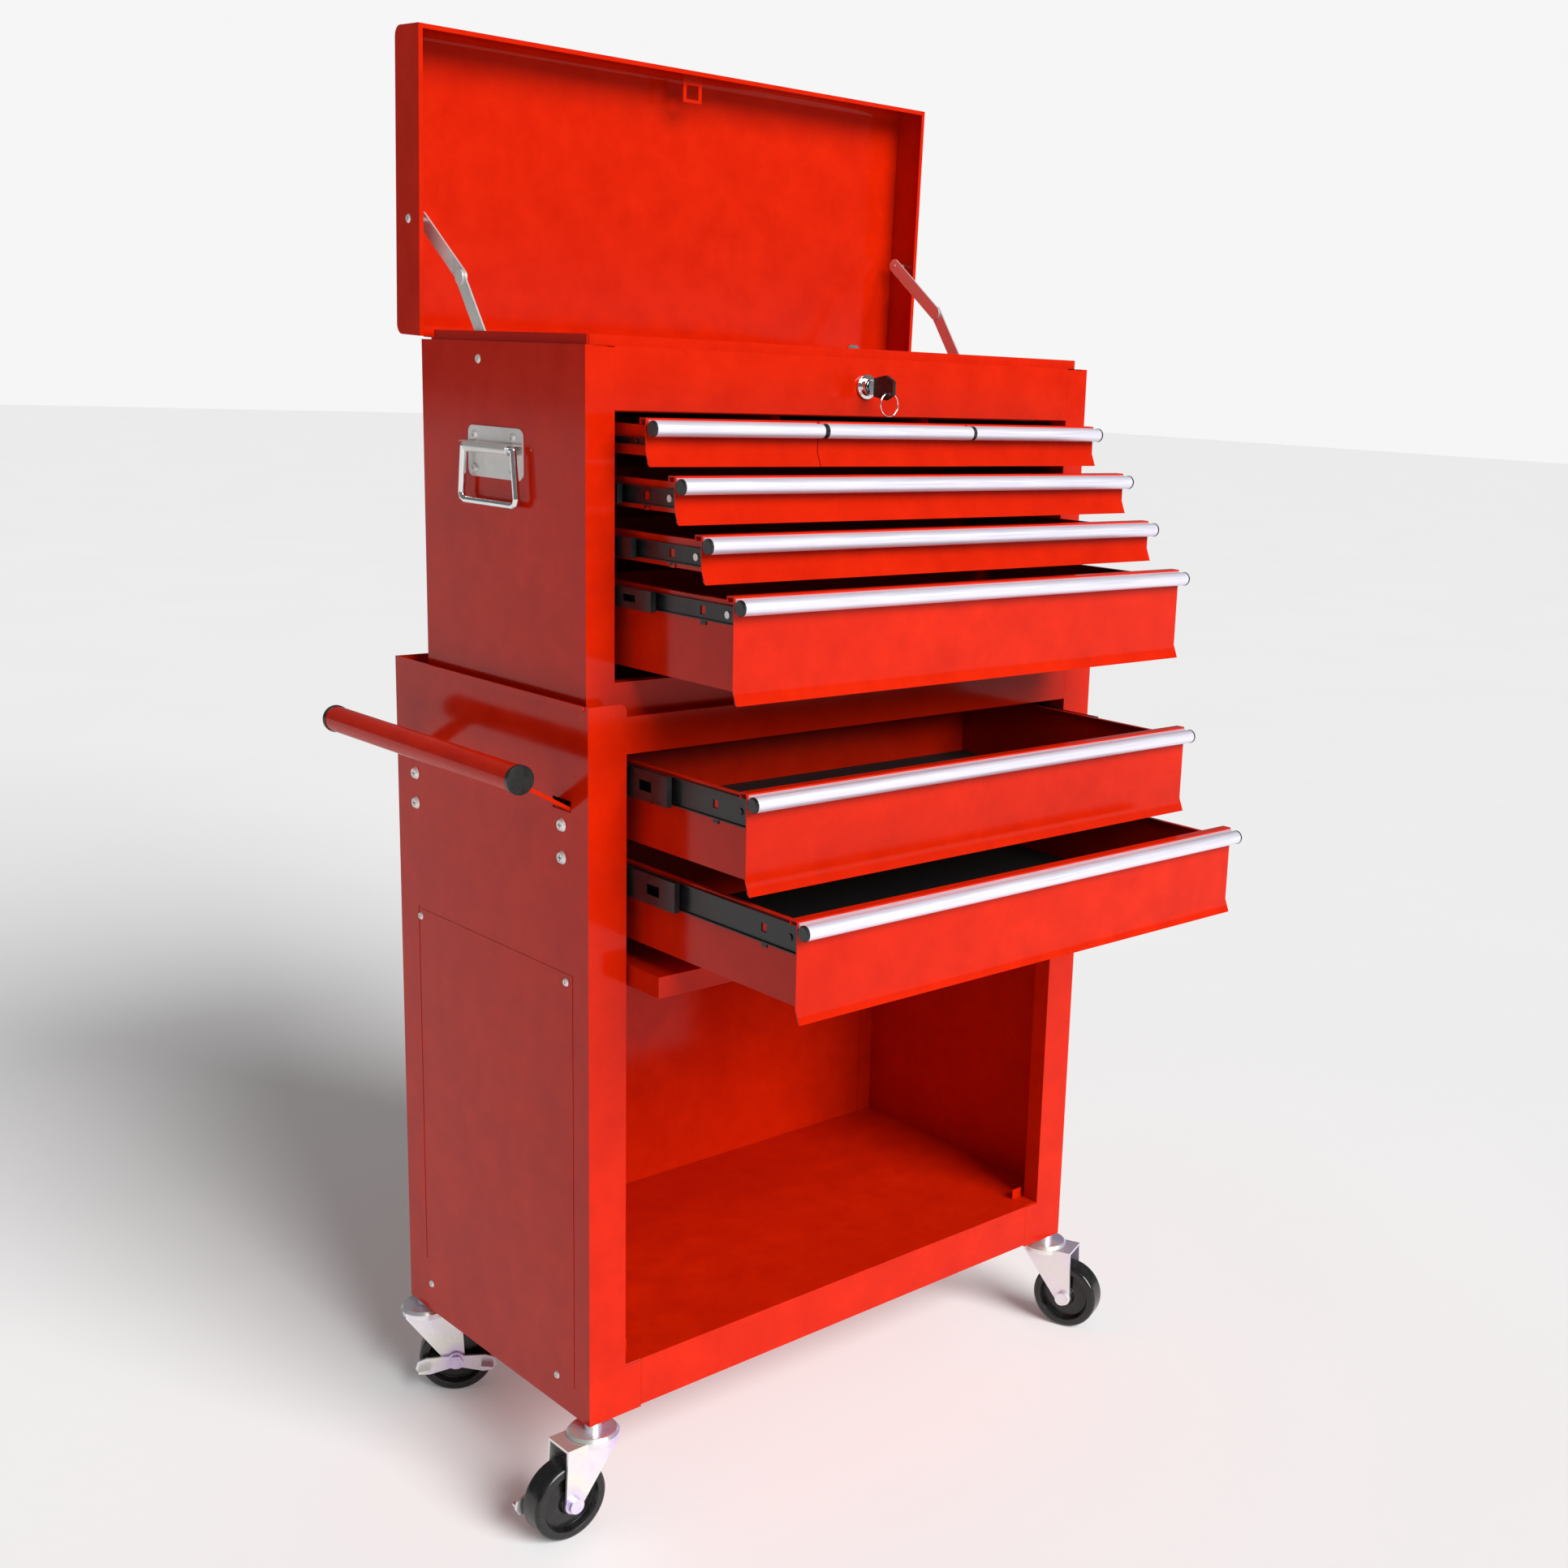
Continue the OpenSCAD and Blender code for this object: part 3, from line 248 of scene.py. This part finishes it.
def dress_tray(name, has_screws):
    """Black slide channels, liner mat and, where wanted, bright screws on a drawer."""
    low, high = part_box(name)
    middle = (low.x + high.x) / 2
    side = (high.x - low.x) / 2 - (12 if name in WIDE_TRAYS else 8) * MM
    face_y = low.y + FRONT_LIP

    def on_strip(p):
        beside = side + 0.005 * MM < abs(p.x - middle) < side + 3.1 * MM
        return beside and p.y > face_y + 2.5 * MM and low.z + 9 * MM < p.z < high.z - 6.5 * MM

    def on_liner(p):
        inside = abs(p.x - middle) < side - 1.3 * MM
        along = face_y + 2.3 * MM < p.y < high.y - 2 * MM
        return inside and along and low.z + 9.005 * MM < p.z < low.z + 11.05 * MM

    def on_screw(p):
        proud = side + 1.05 * MM < abs(p.x - middle) < side + 2.1 * MM
        return proud and abs(p.y - face_y - SCREW_SETBACK) < 3.5 * MM

    dress_faces(name, slide_black, on_strip)
    dress_faces(name, liner, on_liner)
    if has_screws:
        dress_faces(name, plain_zinc, on_screw)


def dress_pull_caps(name):
    """Black plastic on both ends of a pull."""
    low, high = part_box(name)
    middle = (low.x + high.x) / 2
    grip = (high.x - low.x) / 2 - CAP_LENGTH
    dress_faces(name, cap_plastic, lambda p: abs(p.x - middle) > grip + 0.01 * MM)


def joint_place(name):
    """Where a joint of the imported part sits."""
    joint = next(j for j in frame["joints"] if j["name"] == name)
    return Vector(joint["pos_m"])


# ---------- stage ----------

def make_floor(material):
    mesh = bpy.data.meshes.new("floor")
    r = 30.0
    mesh.from_pydata([(-r, -r, 0), (r, -r, 0), (r, r, 0), (-r, r, 0)], [], [(0, 1, 2, 3)])
    mesh.materials.append(material)
    floor = bpy.data.objects.new("floor", mesh)
    bpy.context.collection.objects.link(floor)


def make_world(light, seen):
    """An even surround, whiter where the camera sees it directly."""
    world = bpy.data.worlds.new("studio")
    bpy.context.scene.world = world
    world.use_nodes = True
    nodes, links = world.node_tree.nodes, world.node_tree.links
    background = nodes["Background"]
    path = nodes.new("ShaderNodeLightPath")
    mix = nodes.new("ShaderNodeMix")
    mix.data_type = "RGBA"
    mix.inputs[6].default_value = (light, light, light, 1)
    mix.inputs[7].default_value = (seen, seen, seen, 1)
    links.new(path.outputs["Is Camera Ray"], mix.inputs["Factor"])
    links.new(mix.outputs[2], background.inputs["Color"])


def sun_light(name, toward, strength, spread):
    """A far, wide soft box: parallel light with blurred shadows."""
    lamp = bpy.data.lights.new(name, "SUN")
    lamp.energy = strength
    lamp.angle = math.radians(spread)
    light = bpy.data.objects.new(name, lamp)
    bpy.context.collection.objects.link(light)
    light.rotation_euler = Vector(toward).to_track_quat("-Z", "Y").to_euler()


def make_camera():
    """The view from the front left, a little below the open lid."""
    data = bpy.data.cameras.new("camera")
    data.sensor_width = 36
    data.lens = 42.98
    data.shift_x = -0.1216
    data.shift_y = 0.0098
    data.clip_end = 200
    camera = bpy.data.objects.new("camera", data)
    bpy.context.collection.objects.link(camera)
    right = Vector((0.71261, -0.70025, 0.04281))
    up = Vector((0.12410, 0.18587, 0.97471))
    back = right.cross(up).normalized()
    turn = Matrix((right, up, back)).transposed().to_4x4()
    camera.matrix_world = Matrix.Translation((-1.1256, -1.34095, 1.0330)) @ turn
    bpy.context.scene.camera = camera


# ---------- build ----------

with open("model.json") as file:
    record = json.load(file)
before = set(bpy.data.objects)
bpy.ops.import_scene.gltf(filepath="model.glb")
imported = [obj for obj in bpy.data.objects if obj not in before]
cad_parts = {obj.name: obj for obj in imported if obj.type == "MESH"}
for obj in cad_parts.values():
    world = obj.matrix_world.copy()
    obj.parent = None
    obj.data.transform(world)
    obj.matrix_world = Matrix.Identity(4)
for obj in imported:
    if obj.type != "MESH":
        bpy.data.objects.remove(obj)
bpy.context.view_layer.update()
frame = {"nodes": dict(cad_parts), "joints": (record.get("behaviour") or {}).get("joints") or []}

enamel = red_enamel()
slide_black = black_zinc()
plain_zinc = zinc("plain_zinc", [(0.66, 0.64, 0.62), (0.80, 0.78, 0.76)], 0.26, metallic=0.55)
tinted_zinc = zinc(
    "tinted_zinc",
    [(0.72, 0.60, 0.86), (0.86, 0.83, 0.90), (0.84, 0.86, 0.78), (0.76, 0.66, 0.90)],
    0.24,
    metallic=0.75,
)
bright_chrome = chrome()
aluminium = brushed_aluminium()
cap_plastic = black_plastic("cap_plastic", 0.006, 0.014, 0.22)
wheel_plastic = black_plastic("wheel_plastic", 0.005, 0.014, 0.16)
liner = liner_foam()

for part in RED_PARTS + TRAYS:
    dress(part, enamel)
for part in SLIDES:
    dress(part, slide_black)
for part in ZINC_PARTS:
    dress(part, plain_zinc)
for part in CASTER_PARTS:
    dress(part, tinted_zinc)
for part in CHROME_PARTS:
    dress(part, bright_chrome)
for part in WIDE_PULLS + SMALL_PULLS:
    dress(part, aluminium)
    dress_pull_caps(part)
for part in WHEELS:
    dress(part, wheel_plastic)
dress("key", cap_plastic)
for part in TRAYS:
    dress_tray(part, has_screws=part.startswith("upper"))

rivet = joint_place("stay_upper_turn")
dress_faces("lid_pan", plain_zinc, lambda p: math.hypot(p.y - rivet.y, p.z - rivet.z) < RIVET_R)
tube_low, tube_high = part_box("push_handle")
dress_faces(
    "push_handle", cap_plastic,
    lambda p: p.y < tube_low.y + TUBE_CAP or p.y > tube_high.y - TUBE_CAP,
)
plug_low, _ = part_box("lock_plug")
dress_faces("key", bright_chrome, lambda p: p.y > plug_low.y - KEY_HEAD_GAP)

make_floor(pale_floor())
make_world(light=0.16, seen=0.92)
sun_light("key", toward=(-0.04, 0.84, -0.50), strength=4.3, spread=35)
make_camera()
bpy.context.scene.view_settings.view_transform = "Standard"
